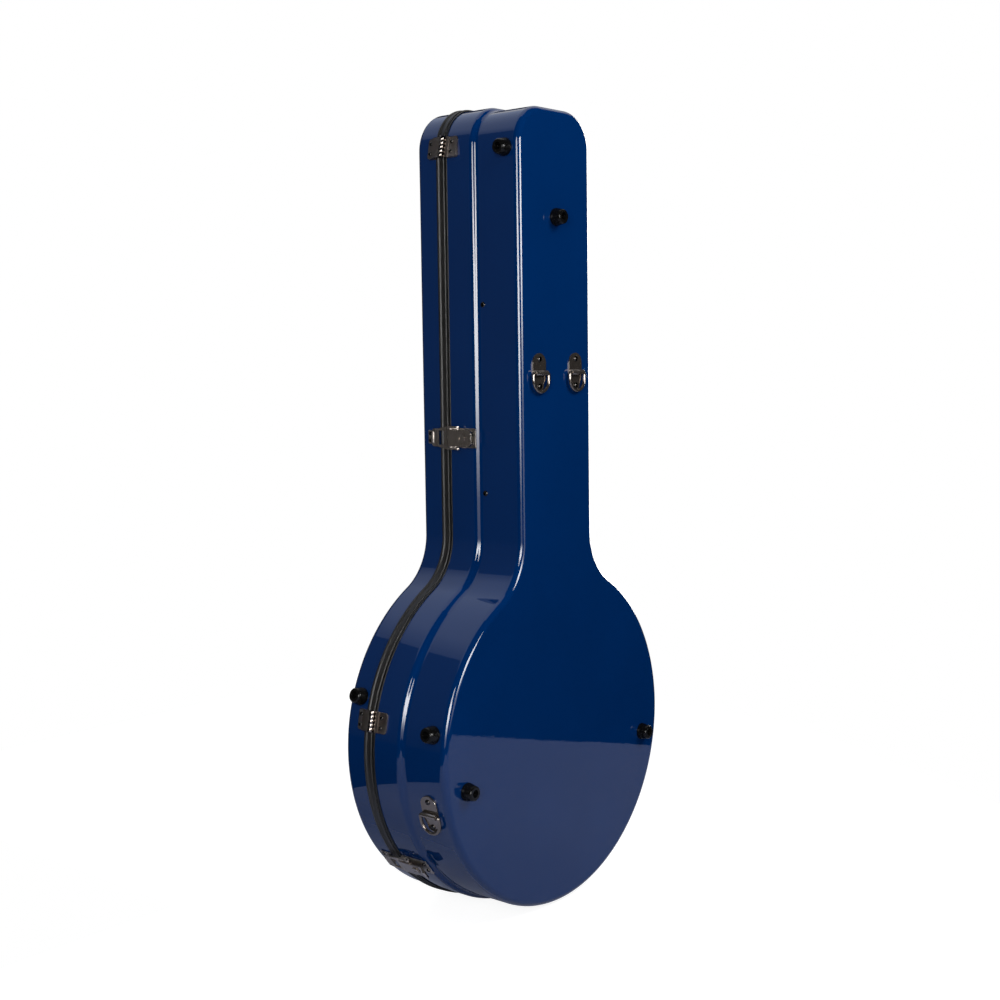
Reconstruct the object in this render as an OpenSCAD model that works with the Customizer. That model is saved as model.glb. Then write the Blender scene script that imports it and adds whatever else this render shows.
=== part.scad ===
// Hard banjo case with a hinged lid, draw latches, strap rings, feet and a handle.
// It stands upright: +Z up, back face towards -Y, lid towards +Y, hinges at -X.
// The origin is on the back face, midway between the two upper strap rings.

/* [Outline] */
// Height of the case, from the bottom of the bowl to the top end
case_length = 960; // [930:5:1040]
// Radius of the round bowl
bowl_radius = 211.2; // [205:0.1:217]
// Half the width of the neck part
neck_half = 72; // [68:0.5:78]
// Radius of the shoulders between bowl and neck
shoulder_radius = 71.55; // [64:0.05:86]
// Radius of the two top corners
corner_radius = 48; // [42:1:54]

/* [Section] */
// Depth of the shell, from the back face to the parting line
parting = 108; // [104:0.5:110]
// Depth of the lid, from the parting line to its face
lid_depth = 45.8; // [44:0.2:57]
// Depth of the middle of the ridge line
ridge_depth = 65; // [61:0.5:66]
// Step of the side wall at the ridge line
ridge_step = 5; // [4:0.5:6]
// Length of the S curve that makes the step
ridge_run = 11; // [9:0.5:12]
// Radius of the outer edges
edge_radius = 8; // [6:0.5:10]
// Wall thickness of shell and lid
wall = 3.2; // [2.8:0.1:3.6]

/* [Seal and trim] */
// Gap between the lid's seal and the shell's rim trim
seam = 0.3; // [0.2:0.05:0.6]
// Thickness of the rubber on the walls
rubber = 1.2; // [1:0.1:1.4]
// Rubber between a rim and the parting line
rim_cover = 2.5; // [2:0.1:3]
// Length of trim lip on the outside of the shell
trim_lap = 2; // [2:0.1:2.8]
// Height of the seal on the lid wall
seal_height = 13; // [13:0.5:15]
// Radius of the seal's round bead
bead_radius = 2.6; // [2:0.1:2.8]
// Distance of the bead from the parting line
bead_place = 10.3; // [9.5:0.1:11]
// Thickness of the tongue that locates the lid
tongue = 2; // [1.6:0.1:2.4]
// Height of the tongue above the parting line
tongue_height = 5; // [4:0.5:6]
// Gap between tongue and seal
tongue_gap = 0.6; // [0.4:0.1:1]

/* [Lining] */
// Distance from the outline to the inner face of the side padding
side_pad = 20; // [17:0.5:23]
// Distance from the back face to the top of the bed
bed_depth = 14; // [12:0.5:18]
// Thickness of the lid's padding
lid_pad = 10.3; // [8:0.1:12]
// Distance from the outline to the inner face of the lid's side padding
lid_side_pad = 14; // [12:0.5:17]

/* [Hinges] */
// Length of a hinge
hinge_length = 24; // [22:0.5:28]
// Distance of the hinge line outside the case outline
hinge_out = 5.5; // [5.2:0.1:6]
// Radius of a hinge knuckle
knuckle_radius = 3; // [2.7:0.1:3.1]
// Radius of a hinge pin
hinge_pin = 1.5; // [1.2:0.1:1.8]
// Thickness of a hinge leaf
leaf = 1.8; // [1.5:0.1:2]
// Width of the shell leaf on the wall
shell_leaf_width = 15.8; // [14.6:0.2:20]
// Width of the lid leaf on the wall
lid_leaf_width = 10.8; // [10:0.2:14]
// Radius of the corners of a hinge leaf
leaf_round = 3; // [2:0.5:4]
// Distance of the upper hinge below the top end
top_hinge_drop = 45.5; // [44:0.5:60]

/* [Latches] */
// Width of a latch lever
lever_width = 19.6; // [18:0.2:20]
// Length of a lever behind its pin
lever_length = 39; // [36:0.5:42]
// Distance of the lever pin behind the parting line
lever_pin_back = 7; // [6.6:0.1:8]
// Height of the lever pin above the wall
lever_pin_out = 5.2; // [5.1:0.1:5.6]
// Radius of the lever's hub
hub_radius = 3.2; // [3:0.1:3.4]
// Distance of the bail pin behind the lever pin
bail_pin_back = 11; // [10:0.5:12]
// Height of the bail pin above the wall
bail_pin_out = 5.6; // [5.4:0.1:6]
// Radius of the latch pins
latch_pin = 1.2; // [1:0.1:1.4]
// Length of the slanted part of a lever's cheeks
cheek_run = 9; // [7:0.5:11]
// Length of a lever's tapered tip
tip_run = 8; // [7:0.5:9]
// Length of the upturned part of a lever's tip
tip_bend = 5; // [4.5:0.5:6]
// Reach of the bail past the parting line
bail_reach = 22; // [21.6:0.2:24]
// Length of the bail's end plate
bail_end = 10; // [8:0.5:11]
// Distance of the bail's bridge behind the parting line
bridge_back = 3; // [1:0.5:3]
// Length of the bail's bridge between its arms
bridge_length = 5; // [4:0.5:6]
// Distance by which each arm comes in towards the keeper
bail_taper = 3.2; // [0:0.2:3.6]
// Thickness of the bail's plate
bail_plate = 2.2; // [1.8:0.1:2.6]
// Width of the bail's arms
bail_arm = 2; // [1.6:0.1:2.4]
// Height of the bail above the wall
bail_out = 5; // [4.8:0.1:5.2]
// Thickness of the latch plates on the wall
latch_plate = 1.5; // [1.2:0.1:1.6]
// Thickness of the ears at the lever pin
ear = 1.5; // [1.2:0.1:1.8]
// Radius of the lock in a lever
lock_radius = 5.6; // [4.5:0.1:6]
// Distance of a keeper from the parting line
keeper_place = 17; // [16:0.5:18]
// Length of a keeper
keeper_length = 16; // [14:0.5:17]
// Width of a keeper
keeper_width = 16; // [14:0.5:18]
// Height of the neck latch beside the hinges
neck_latch_height = 573; // [540:1:590]
// Angle below level of the two lower bowl latches
low_latch_angle = 39; // [34:1:46]
// Distance of the far side's upper latch below the top end
far_top_latch_drop = 120; // [110:1:200]
// Distance of the far side's neck latch above the handle's bracket
far_neck_latch_rise = 43.2; // [42:0.1:60]
// Angle above level of the far side's bowl latch
far_bowl_latch_angle = 20; // [5:1:28]

/* [Feet] */
// Radius of a foot at the wall
foot_radius = 10.5; // [9:0.5:13]
// Radius of a foot at its end
foot_end = 8.4; // [7.6:0.1:8.9]
// Height of a foot
foot_height = 13; // [11:0.5:16]
// Radius of the hole for the foot's screw
foot_hole = 4.4; // [4:0.1:5]
// Rubber left under the foot's screw
foot_floor = 7; // [5:0.5:8]
// Distance of the upper back foot below the top end
top_foot_drop = 130; // [90:1:150]
// Distance of the lower back feet inside the bowl's outline
low_foot_inset = 39; // [30:1:60]
// Angle below level of the lower back feet
low_foot_angle = 9.8; // [5:0.2:25]
// Depth of the side feet from the back face
side_foot_depth = 20; // [19:0.5:26]
// Distance of the neck's side foot below the top end
side_foot_drop = 54; // [50:1:90]
// Angle above level of the bowl's side foot
side_foot_angle = 11; // [4:0.5:16]
// Distance between the lid's foot and the lower hinge
lid_foot_beside = 2.6; // [2:0.1:20]
// Distance between the lid's foot and the seal
lid_foot_above = 3.3; // [2:0.1:4]

/* [Straps] */
// Height of the upper strap rings
strap_height = 649; // [600:1:690]
// Distance of the upper strap rings from the middle
strap_side = 34.2; // [30:0.1:40]
// Angle below level of the lower strap rings
low_strap_angle = 15; // [8:0.5:20]
// Depth of the lower strap rings from the back face
low_strap_depth = 28; // [24:0.5:34]
// Radius of the ring's wire
ring_wire = 1.9; // [1.6:0.1:2.1]
// Distance from the ring's middle to its legs
ring_half = 14; // [13.8:0.1:16]
// Length of the ring's straight legs
ring_leg = 8; // [7:0.5:10]
// Radius of the bend between the ring's bar and legs
ring_bend = 3; // [2.4:0.1:3.4]
// Height of the ring's bar above the wall
ring_out = 3.8; // [3.7:0.1:4.4]
// Thickness of a strap plate
strap_plate_thickness = 1.5; // [1.2:0.1:1.6]
// Thickness of the roll round the ring's bar
roll = 1.2; // [1:0.1:1.3]
// Radius of a strap plate's upper lobe
lobe_radius = 12; // [11:0.5:12.5]
// Height of the lobe's middle above the ring's bar
lobe_rise = 11; // [10.5:0.5:13]
// Radius of a strap plate's lower tongue
tail_radius = 8; // [7:0.5:8.5]
// Distance of the lower tongue's middle below the ring's bar
tail_drop = 14; // [13:0.5:14.5]
// Distance of the upper screw above the lobe's middle
lobe_screw = 5; // [4:0.5:6]
// Distance of the lower screw below the tongue's middle
tail_screw = 1.6; // [1:0.1:3]
// Angle by which the lower rings hang off the wall
ring_lean = 3; // [0:1:15]

/* [Screws] */
// Head radius of the small screws
small_head = 2.4; // [2:0.1:2.5]
// Head height of the small screws
small_head_height = 1.2; // [1:0.1:1.4]
// Head radius of the large screws
large_head = 3.3; // [2.8:0.1:3.4]
// Head height of the large screws
large_head_height = 1.6; // [1.2:0.1:1.8]

/* [Handle] */
// Height of the handle's middle above the shoulder
handle_rise = 70; // [69:1:74]
// Distance from the handle's middle to each bracket
handle_half = 56; // [50:1:57]
// Depth of the handle's hinge line from the back face
handle_depth = 38; // [36:0.5:40]
// Height of the handle's hinge line above the wall
handle_pin_out = 8; // [7.5:0.1:9]
// Radius of the handle's pins
handle_pin = 2; // [1.6:0.1:2.4]
// Radius of the handle's lugs
lug_radius = 4.2; // [3.8:0.1:4.5]
// Width of the handle's lugs
lug_width = 9.4; // [8:0.2:11]
// Distance of the grip from the hinge line
grip_reach = 26; // [24:0.5:28]
// Height of the grip above the wall
grip_out = 14; // [13.6:0.1:16]
// Radius of the grip
grip_radius = 7.5; // [6.5:0.1:7.8]
// Thickness of a bracket's ears and plate
bracket = 1.8; // [1.5:0.1:2]
// Length of a bracket's plate across the wall
bracket_length = 27; // [26:0.5:30]

/* [Compartment] */
// Height of the compartment's lower wall
compartment_height = 508; // [500:1:520]
// Distance between the compartment's walls
compartment_length = 221; // [190:1:240]
// Thickness of the compartment's walls
board = 6; // [5:0.5:8]
// Depth of the compartment's hinge line from the back face
lid_board_depth = 57; // [50:0.5:60]
// Thickness of the compartment's lid
lid_board = 4; // [3:0.5:5]
// Radius of the compartment lid's hinge edge
lid_barrel = 3.6; // [3.2:0.1:4]
// Radius of the compartment's hinge pins
board_pin = 2; // [1.5:0.1:2.2]
// Radius of the neck notch in walls and rest
notch_radius = 31; // [28:0.5:34]
// Depth of the bottom of the neck notch from the back face
notch_depth = 66; // [64:0.5:70]
// Depth of the top of the walls from the back face
wall_top = 84; // [78:0.5:90]
// Radius of the finger hole in the compartment's lid
finger_hole = 9; // [8:0.5:11]
// Distance of the neck rest above the compartment
rest_rise = 40; // [20:1:60]
// Length of the neck rest along the neck
rest_length = 26; // [20:1:36]

/* [Hidden] */
$fn = 96;

// Fits that several pieces share
seat_gap = 0.3;
running = 0.07;
overcut = 1;

case_depth = parting + lid_depth;
shell_rim = parting - rim_cover;
lid_rim = parting + rim_cover;
ridge_top = ridge_depth + ridge_run / 2;
ridge_bottom = ridge_depth - ridge_run / 2;
ridge_curve = (ridge_step * ridge_step + ridge_run * ridge_run) / (4 * ridge_step);
flange = corner_radius - edge_radius;
back_edge = ridge_step + edge_radius;

shoulder_x = neck_half + shoulder_radius;
shoulder_reach = bowl_radius + shoulder_radius;
shoulder_z = bowl_radius + sqrt(shoulder_reach * shoulder_reach - shoulder_x * shoulder_x);
shoulder_angle = acos(shoulder_x / shoulder_reach);
corner_x = neck_half - corner_radius;
corner_z = case_length - corner_radius;
neck_run = corner_z - shoulder_z;

hull_rise = corner_z - bowl_radius;
hull_reach = sqrt(corner_x * corner_x + hull_rise * hull_rise);
hinge_lean = asin((bowl_radius - corner_radius) / hull_reach) - atan2(corner_x, hull_rise);
hinge_foot = bowl_radius + (bowl_radius + hinge_out) * sin(hinge_lean);
top_hinge_along = (case_length - top_hinge_drop - hinge_foot) / cos(hinge_lean);
knuckle_pitch = hinge_length / 5;
trim_reach = rim_cover + trim_lap;
tongue_place = wall + rubber + tongue_gap;
bead_out = bead_radius + 0.2;
bridge_out = hinge_out - bead_out - seat_gap;
web_out = hinge_out - rubber - seat_gap;

lever_half = lever_width / 2;
lever_sheet = 1.6;
hub_cover = 0.15;
lever_top = lever_pin_out + hub_radius + hub_cover;
lever_tip = lever_pin_back + lever_length;
bail_pin_x = lever_pin_back + bail_pin_back;
ear_inside = lever_half + seat_gap;
base_half = ear_inside + ear;
bail_inside = base_half + seat_gap;
bail_half = bail_inside + bail_arm;
base_start = trim_reach + 2 * seat_gap;
base_end = lever_tip - 3;
lip_top = bail_out - seat_gap;
lock_x = bail_pin_x + 3.4 + lock_radius;
far_neck_latch_height = shoulder_z + handle_rise + handle_half + far_neck_latch_rise;
far_top_latch_height = case_length - far_top_latch_drop;
lid_foot_beyond = hinge_length / 2 + foot_radius + lid_foot_beside;
lid_foot_angle = hinge_lean + lid_foot_beyond / bowl_radius * 180 / PI;
lid_foot_depth = parting + seal_height + foot_radius + lid_foot_above;

compartment_top = compartment_height + compartment_length;
inner_half = neck_half - side_pad - seat_gap;
lid_board_x = -inner_half + lid_barrel;

// Runs a section round the whole outline; its x is the inset and its y the depth
module around_bowl() {
  translate([0, 0, bowl_radius]) rotate([-90, 0, 0])
    rotate_extrude(start = -shoulder_angle, angle = 180 + 2 * shoulder_angle)
      translate([bowl_radius, 0]) mirror([1, 0]) children();
}

module along_side() {
  translate([-shoulder_x, 0, shoulder_z]) rotate([-90, 0, 0])
    rotate_extrude(angle = shoulder_angle) translate([shoulder_radius, 0]) children();
  translate([0, 0, shoulder_z]) {
    translate([-neck_half, 0, 0]) linear_extrude(neck_run) children();
    translate([-corner_x, 0, neck_run]) rotate([-90, 0, 0])
      rotate_extrude(start = 180, angle = 90) translate([corner_radius, 0]) mirror([1, 0]) children();
  }
}

module across_top() {
  translate([-corner_x, 0, case_length]) rotate([0, 90, 0]) linear_extrude(2 * corner_x) children();
}

module around_case() {
  around_bowl() children();
  along_side() children();
  mirror([1, 0, 0]) along_side() children();
  across_top() children();
}

// The whole outline, drawn in by an inset
module plate_outline(inset) {
  translate([0, bowl_radius]) circle(bowl_radius - inset);
  translate([-neck_half + inset, bowl_radius]) square([2 * (neck_half - inset), corner_z - bowl_radius]);
  translate([-corner_x, bowl_radius]) square([2 * corner_x, case_length - inset - bowl_radius]);
  for (s = [-1, 1]) {
    translate([s * corner_x, corner_z]) circle(corner_radius - inset);
    difference() {
      polygon([[0, bowl_radius], [0, shoulder_z], [s * shoulder_x, shoulder_z]]);
      translate([s * shoulder_x, shoulder_z]) circle(shoulder_radius + inset);
    }
  }
}

// A flat slab of the outline between two depths
module slab(inset, from, to) {
  translate([0, to, 0]) rotate([90, 0, 0]) linear_extrude(to - from) plate_outline(inset);
}

// Places on the walls: x towards the back, y up along the wall, z outwards
module on_neck(height, depth, inset) {
  translate([-(neck_half - inset), depth, height]) rotate([90, 0, -90]) children();
}

module on_bowl(above_level, depth, inset) {
  translate([0, 0, bowl_radius]) rotate([0, above_level, 0])
    translate([-(bowl_radius - inset), depth, 0]) rotate([90, 0, -90]) children();
}

module on_back(x, height) {
  translate([x, 0, height]) rotate([90, 0, 0]) children();
}

module far_side() { mirror([1, 0, 0]) children(); }

module in_frame() { translate([0, 0, -strap_height]) children(); }

// Bodies of the case
module shell_section() {
  difference() {
    union() {
      polygon([[0, shell_rim], [0, ridge_top], [ridge_step / 2, ridge_depth],
        [ridge_step, ridge_bottom], [ridge_step, edge_radius], [back_edge, edge_radius],
        [back_edge, 0], [flange, 0], [flange, shell_rim]]);
      translate([back_edge, edge_radius]) circle(edge_radius);
      translate([ridge_curve, ridge_top]) circle(ridge_curve);
    }
    translate([ridge_step - ridge_curve, ridge_bottom]) circle(ridge_curve);
    polygon([[wall, shell_rim + overcut], [wall, ridge_top - wall / 2],
      [wall + ridge_step, ridge_bottom + wall / 6], [wall + ridge_step, edge_radius],
      [back_edge, wall], [flange + overcut, wall], [flange + overcut, shell_rim + overcut]]);
  }
}

module back_shell() {
  color("midnightblue") in_frame() {
    around_case() shell_section();
    slab(flange, 0, wall);
  }
}

module lid_section() {
  difference() {
    union() {
      polygon([[0, lid_rim], [0, case_depth - edge_radius], [edge_radius, case_depth - edge_radius],
        [edge_radius, case_depth], [flange, case_depth], [flange, lid_rim]]);
      translate([edge_radius, case_depth - edge_radius]) circle(edge_radius);
    }
    polygon([[wall, lid_rim - overcut], [wall, case_depth - edge_radius + wall / 4],
      [edge_radius, case_depth - wall], [flange + overcut, case_depth - wall],
      [flange + overcut, lid_rim - overcut]]);
  }
}

module lid_shell() {
  color("midnightblue") in_frame() {
    around_case() lid_section();
    slab(flange, case_depth - wall, case_depth);
  }
}

module trim_section() {
  top = parting - seam / 2;
  foot = shell_rim - 2 * trim_lap;
  polygon([[-rubber, shell_rim - trim_lap], [-rubber, top], [tongue_place, top],
    [tongue_place, parting + tongue_height], [tongue_place + tongue, parting + tongue_height],
    [tongue_place + tongue, foot], [wall, foot], [wall, shell_rim], [0, shell_rim],
    [0, shell_rim - trim_lap]]);
}

module rim_trim() { color("black") in_frame() around_case() trim_section(); }

module seal_section() {
  foot = parting + seam / 2;
  difference() {
    union() {
      translate([-rubber, foot]) square([wall + 2 * rubber, parting + seal_height - foot]);
      translate([-0.2, parting + bead_place]) circle(bead_radius);
      translate([-rubber, foot + rubber]) circle(rubber);
    }
    translate([0, lid_rim]) square([wall, seal_height]);
    translate([wall - overcut, parting + bead_place - overcut]) square([rubber + 2 * overcut, seal_height]);
  }
}

module lid_seal() { color("dimgray") in_frame() around_case() seal_section(); }

module shell_pad_section() {
  inner = wall + seat_gap;
  top = shell_rim - 2 * trim_lap - 2 * seat_gap;
  polygon([[inner + ridge_step, edge_radius + seat_gap], [inner + ridge_step, ridge_bottom],
    [inner, ridge_top - wall / 2], [inner, top], [side_pad, top], [side_pad, bed_depth],
    [flange, bed_depth], [flange, inner], [back_edge, inner]]);
}

module shell_lining() {
  color("slategray") in_frame() {
    around_case() shell_pad_section();
    slab(flange, wall + seat_gap, bed_depth);
  }
}

module lid_pad_section() {
  inner = wall + seat_gap;
  face = case_depth - inner;
  foot = parting + seal_height - overcut;
  polygon([[inner, foot], [inner, case_depth - edge_radius + seat_gap], [edge_radius + seat_gap, face],
    [flange, face], [flange, face - lid_pad], [lid_side_pad, face - lid_pad], [lid_side_pad, foot]]);
}

module lid_lining() {
  color("slategray") in_frame() {
    around_case() lid_pad_section();
    slab(flange, case_depth - wall - seat_gap - lid_pad, case_depth - wall - seat_gap);
  }
}

// Hinges: both share one line that touches the bowl and the top corner
module on_hinge(along) {
  translate([-(bowl_radius + hinge_out) * cos(hinge_lean), parting, hinge_foot])
    rotate([0, hinge_lean, 0]) translate([0, 0, along]) children();
}

module at_hinges() {
  on_hinge(0) children();
  on_hinge(top_hinge_along) children();
}

module knuckles(first) {
  for (k = [first : 2 : 4])
    translate([0, 0, -hinge_length / 2 + k * knuckle_pitch + seat_gap / 2])
      linear_extrude(knuckle_pitch - seat_gap) difference() {
        union() { circle(knuckle_radius); children(); }
        circle(first == 0 ? hinge_pin : hinge_pin + running);
      }
}

module leaf_sheet() { linear_extrude(hinge_length, center = true) children(); }

// A leaf's plate into the wall, from its square root to its rounded free end
module leaf_plate(root, free_end) {
  bend = free_end + sign(root - free_end) * leaf_round;
  straight = hinge_length - 2 * leaf_round;
  translate([hinge_out - leaf, 0, 0]) rotate([90, 0, 90]) linear_extrude(leaf + wall) {
    translate([min(root, bend), -hinge_length / 2]) square([abs(root - bend), hinge_length]);
    translate([min(free_end, bend), -straight / 2]) square([leaf_round, straight]);
    for (s = [-1, 1]) translate([bend, s * straight / 2]) circle(leaf_round);
  }
}

module shell_leaf() {
  reach = trim_reach + seat_gap;
  below = knuckle_radius + seat_gap;
  leaf_plate(-reach, -reach - shell_leaf_width);
  leaf_sheet() translate([web_out - leaf, -reach - 2 * leaf]) square([leaf, reach + 2 * leaf - below]);
  knuckles(0) translate([web_out - leaf, -below - leaf]) square([leaf - 1, below + leaf]);
}

module lid_leaf() {
  start = seal_height + seat_gap;
  above = knuckle_radius + seat_gap;
  leaf_plate(start, start + lid_leaf_width);
  leaf_sheet() {
    translate([bridge_out - leaf, start]) square([hinge_out - bridge_out + 0.2, leaf]);
    translate([bridge_out - leaf, above]) square([leaf, start - above + leaf]);
  }
  knuckles(1) translate([bridge_out - leaf, 0]) square([leaf, above + leaf]);
}

module shell_leaves() {
  color("dimgray") in_frame() difference() {
    at_hinges() shell_leaf();
    slab(0, ridge_depth, shell_rim + overcut, $fn = 720);
  }
}

module lid_leaves() {
  color("dimgray") in_frame() difference() {
    at_hinges() lid_leaf();
    slab(0, lid_rim, case_depth - edge_radius, $fn = 720);
  }
}

module hinge_pins() {
  color("silver") in_frame() at_hinges() cylinder(r = hinge_pin, h = hinge_length, center = true);
}

// Latches: x runs from the parting line towards the back
module at_neck_latch() { on_neck(neck_latch_height, parting, 0) children(); }
module at_low_latch() { on_bowl(-low_latch_angle, parting, 0) children(); }
module at_far_top_latch() { far_side() on_neck(far_top_latch_height, parting, 0) children(); }
module at_far_neck_latch() { far_side() on_neck(far_neck_latch_height, parting, 0) children(); }
module at_far_bowl_latch() { far_side() on_bowl(far_bowl_latch_angle, parting, 0) children(); }
module at_far_low_latch() { far_side() on_bowl(-low_latch_angle, parting, 0) children(); }

module at_latches() {
  at_neck_latch() children();
  at_low_latch() children();
  at_far_top_latch() children();
  at_far_neck_latch() children();
  at_far_bowl_latch() children();
  at_far_low_latch() children();
}

// Extrudes a side view across the latch
module across(width) { rotate([90, 0, 0]) linear_extrude(width, center = true) children(); }

module latch_base() {
  translate([base_start, -base_half, 0]) cube([base_end - base_start, 2 * base_half, latch_plate]);
  for (s = [-1, 1])
    translate([0, s * (ear_inside + ear / 2), 0]) across(ear) difference() {
      union() {
        translate([lever_pin_back, lever_pin_out]) circle(2.3 * latch_pin);
        polygon([[base_start, 0], [lever_pin_back + 2 * hub_radius, 0],
          [lever_pin_back + 2 * latch_pin, lever_pin_out + latch_pin],
          [lever_pin_back - 2 * latch_pin, lever_pin_out - latch_pin]]);
      }
      translate([lever_pin_back, lever_pin_out]) circle(latch_pin);
    }
}

module latch_bases() { color("dimgray") in_frame() at_latches() latch_base(); }

module latch_pins() {
  color("silver") in_frame() at_latches()
    translate([lever_pin_back, 0, lever_pin_out]) rotate([90, 0, 0])
      cylinder(r = latch_pin, h = 2 * base_half, center = true);
}

module lever_side() {
  translate([lever_pin_back, lever_pin_out]) circle(hub_radius);
  translate([lever_pin_back - lever_sheet, lever_top - lever_sheet])
    square([lever_length + lever_sheet - tip_bend, lever_sheet]);
  polygon([[lever_tip - tip_run, lever_top - lever_sheet],
    [lever_tip - tip_bend, lever_top - lever_sheet], [lever_tip, lever_top + 3],
    [lever_tip - lever_sheet, lever_top + 4], [lever_tip - tip_bend - 1, lever_top]]);
}

module lever_plan() {
  polygon([[lever_pin_back - hub_radius - overcut, -lever_half], [lever_tip - tip_run, -lever_half],
    [lever_tip, -lever_half * 0.62], [lever_tip, lever_half * 0.62], [lever_tip - tip_run, lever_half],
    [lever_pin_back - hub_radius - overcut, lever_half]]);
}

module lever() {
  flange_low = lever_pin_out - 0.7 * hub_radius;
  difference() {
    union() {
      intersection() {
        across(2 * lever_half) lever_side();
        linear_extrude(lever_top + 5) lever_plan();
      }
      for (s = [-1, 1])
        translate([0, s * (lever_half - lever_sheet / 2), 0]) across(lever_sheet) {
          polygon([[lever_pin_back, flange_low], [bail_pin_x, flange_low],
            [bail_pin_x + cheek_run, lever_top - lever_sheet / 2],
            [lever_pin_back, lever_top - lever_sheet / 2]]);
          translate([bail_pin_x, bail_pin_out]) circle(2 * latch_pin);
        }
      translate([bail_pin_x, 0, bail_pin_out]) rotate([90, 0, 0])
        cylinder(r = latch_pin, h = 2 * bail_half, center = true);
      translate([lock_x, 0, lever_top - 2 * lever_sheet]) cylinder(r = lock_radius, h = 3 * lever_sheet);
    }
    translate([lever_pin_back, 0, lever_pin_out]) rotate([90, 0, 0])
      cylinder(r = latch_pin + running, h = lever_width + overcut, center = true);
    translate([lock_x - lock_radius / 2, -0.5, lever_top + lever_sheet / 2])
      cube([lock_radius, 1, lever_sheet]);
  }
}

module neck_lever() { color("gray") in_frame() at_neck_latch() lever(); }
module low_lever() { color("gray") in_frame() at_low_latch() lever(); }
module far_top_lever() { color("gray") in_frame() at_far_top_latch() lever(); }
module far_neck_lever() { color("gray") in_frame() at_far_neck_latch() lever(); }
module far_bowl_lever() { color("gray") in_frame() at_far_bowl_latch() lever(); }
module far_low_lever() { color("gray") in_frame() at_far_low_latch() lever(); }

module bail_plan() {
  round_end = 2 * bail_arm;
  front_half = bail_half - bail_taper;
  bridge_front = bridge_back - bridge_length;
  window_front = bail_end - bail_reach;
  difference() {
    union() {
      polygon([[bail_pin_x, bail_half], [bridge_back, bail_half], [window_front, front_half],
        [round_end - bail_reach, front_half], [round_end - bail_reach, -front_half],
        [window_front, -front_half], [bridge_back, -bail_half], [bail_pin_x, -bail_half]]);
      translate([-bail_reach, round_end - front_half]) square([round_end, 2 * (front_half - round_end)]);
      for (s = [-1, 1])
        translate([round_end - bail_reach, s * (front_half - round_end)]) circle(round_end);
    }
    translate([bridge_back, -bail_inside]) square([bail_pin_x, 2 * bail_inside]);
    translate([window_front, bail_arm - front_half])
      square([bridge_front - window_front, 2 * (front_half - bail_arm)]);
  }
}

module bail() {
  roll_half = bail_half - bail_taper - 2 * bail_arm;
  difference() {
    union() {
      translate([0, 0, bail_out]) linear_extrude(bail_plate) bail_plan();
      for (s = [-1, 1])
        translate([bail_pin_x, s * (bail_inside + bail_arm / 2), bail_pin_out]) rotate([90, 0, 0])
          cylinder(r = 2 * latch_pin, h = bail_arm, center = true);
      translate([bail_plate - bail_reach, 0, bail_out + 0.8 * bail_plate]) rotate([90, 0, 0])
        cylinder(r = 0.8 * bail_plate, h = 2 * roll_half, center = true);
    }
    translate([bail_pin_x, 0, bail_pin_out]) rotate([90, 0, 0])
      cylinder(r = latch_pin + running, h = 2 * bail_half + overcut, center = true);
  }
}

module neck_bail() { color("dimgray") in_frame() at_neck_latch() bail(); }
module low_bail() { color("dimgray") in_frame() at_low_latch() bail(); }
module far_top_bail() { color("dimgray") in_frame() at_far_top_latch() bail(); }
module far_neck_bail() { color("dimgray") in_frame() at_far_neck_latch() bail(); }
module far_bowl_bail() { color("dimgray") in_frame() at_far_bowl_latch() bail(); }
module far_low_bail() { color("dimgray") in_frame() at_far_low_latch() bail(); }

module keeper() {
  across(keeper_width) mirror([1, 0])
    polygon([[keeper_place, 0], [keeper_place, lip_top - 0.8], [keeper_place + 0.8, lip_top],
      [keeper_place + 4.6, lip_top], [keeper_place + 2.4, latch_plate + 1.6],
      [keeper_place + 4.5, latch_plate], [keeper_place + keeper_length, latch_plate],
      [keeper_place + keeper_length, 0]]);
}

module latch_keepers() { color("dimgray") in_frame() at_latches() keeper(); }

// Feet
module foot() {
  rim = (foot_radius - foot_end) / 2;
  rotate_extrude() polygon([[0, 0], [foot_radius, 0], [foot_radius, rim * 2],
    [foot_end, foot_height - rim], [foot_end - rim, foot_height], [foot_hole, foot_height],
    [foot_hole, foot_floor], [0, foot_floor]]);
}

module at_back_feet() {
  low = bowl_radius - low_foot_inset;
  on_back(0, case_length - top_foot_drop) children();
  for (s = [-1, 1])
    on_back(s * low * cos(low_foot_angle), bowl_radius - low * sin(low_foot_angle)) children();
}

module at_side_feet() {
  on_neck(case_length - side_foot_drop, side_foot_depth, ridge_step) children();
  on_bowl(side_foot_angle, side_foot_depth, ridge_step) children();
}

module at_lid_foot() { on_bowl(lid_foot_angle, lid_foot_depth, 0) children(); }

module back_feet() { color("black") in_frame() at_back_feet() foot(); }
module side_feet() { color("black") in_frame() at_side_feet() foot(); }
module lid_foot() { color("black") in_frame() at_lid_foot() foot(); }

// Screws, drawn as their domed heads
module screw_head(radius, height) {
  curve = (radius * radius + height * height) / (2 * height);
  rotate_extrude() intersection() {
    translate([0, height - curve]) circle(curve);
    square([radius, height]);
  }
}

module small_head() { screw_head(small_head, small_head_height); }
module large_head() { screw_head(large_head, large_head_height); }

module lid_foot_screw() { color("silver") in_frame() at_lid_foot() translate([0, 0, foot_floor]) large_head(); }

// Strap rings
module strap_outline() {
  translate([0, lobe_rise]) circle(lobe_radius);
  translate([-lobe_radius, -ring_wire * 2]) square([2 * lobe_radius, lobe_rise + ring_wire * 2]);
  polygon([[-lobe_radius, -ring_wire * 2], [-tail_radius, -tail_drop], [tail_radius, -tail_drop],
    [lobe_radius, -ring_wire * 2]]);
  translate([0, -tail_drop]) circle(tail_radius);
}

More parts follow.
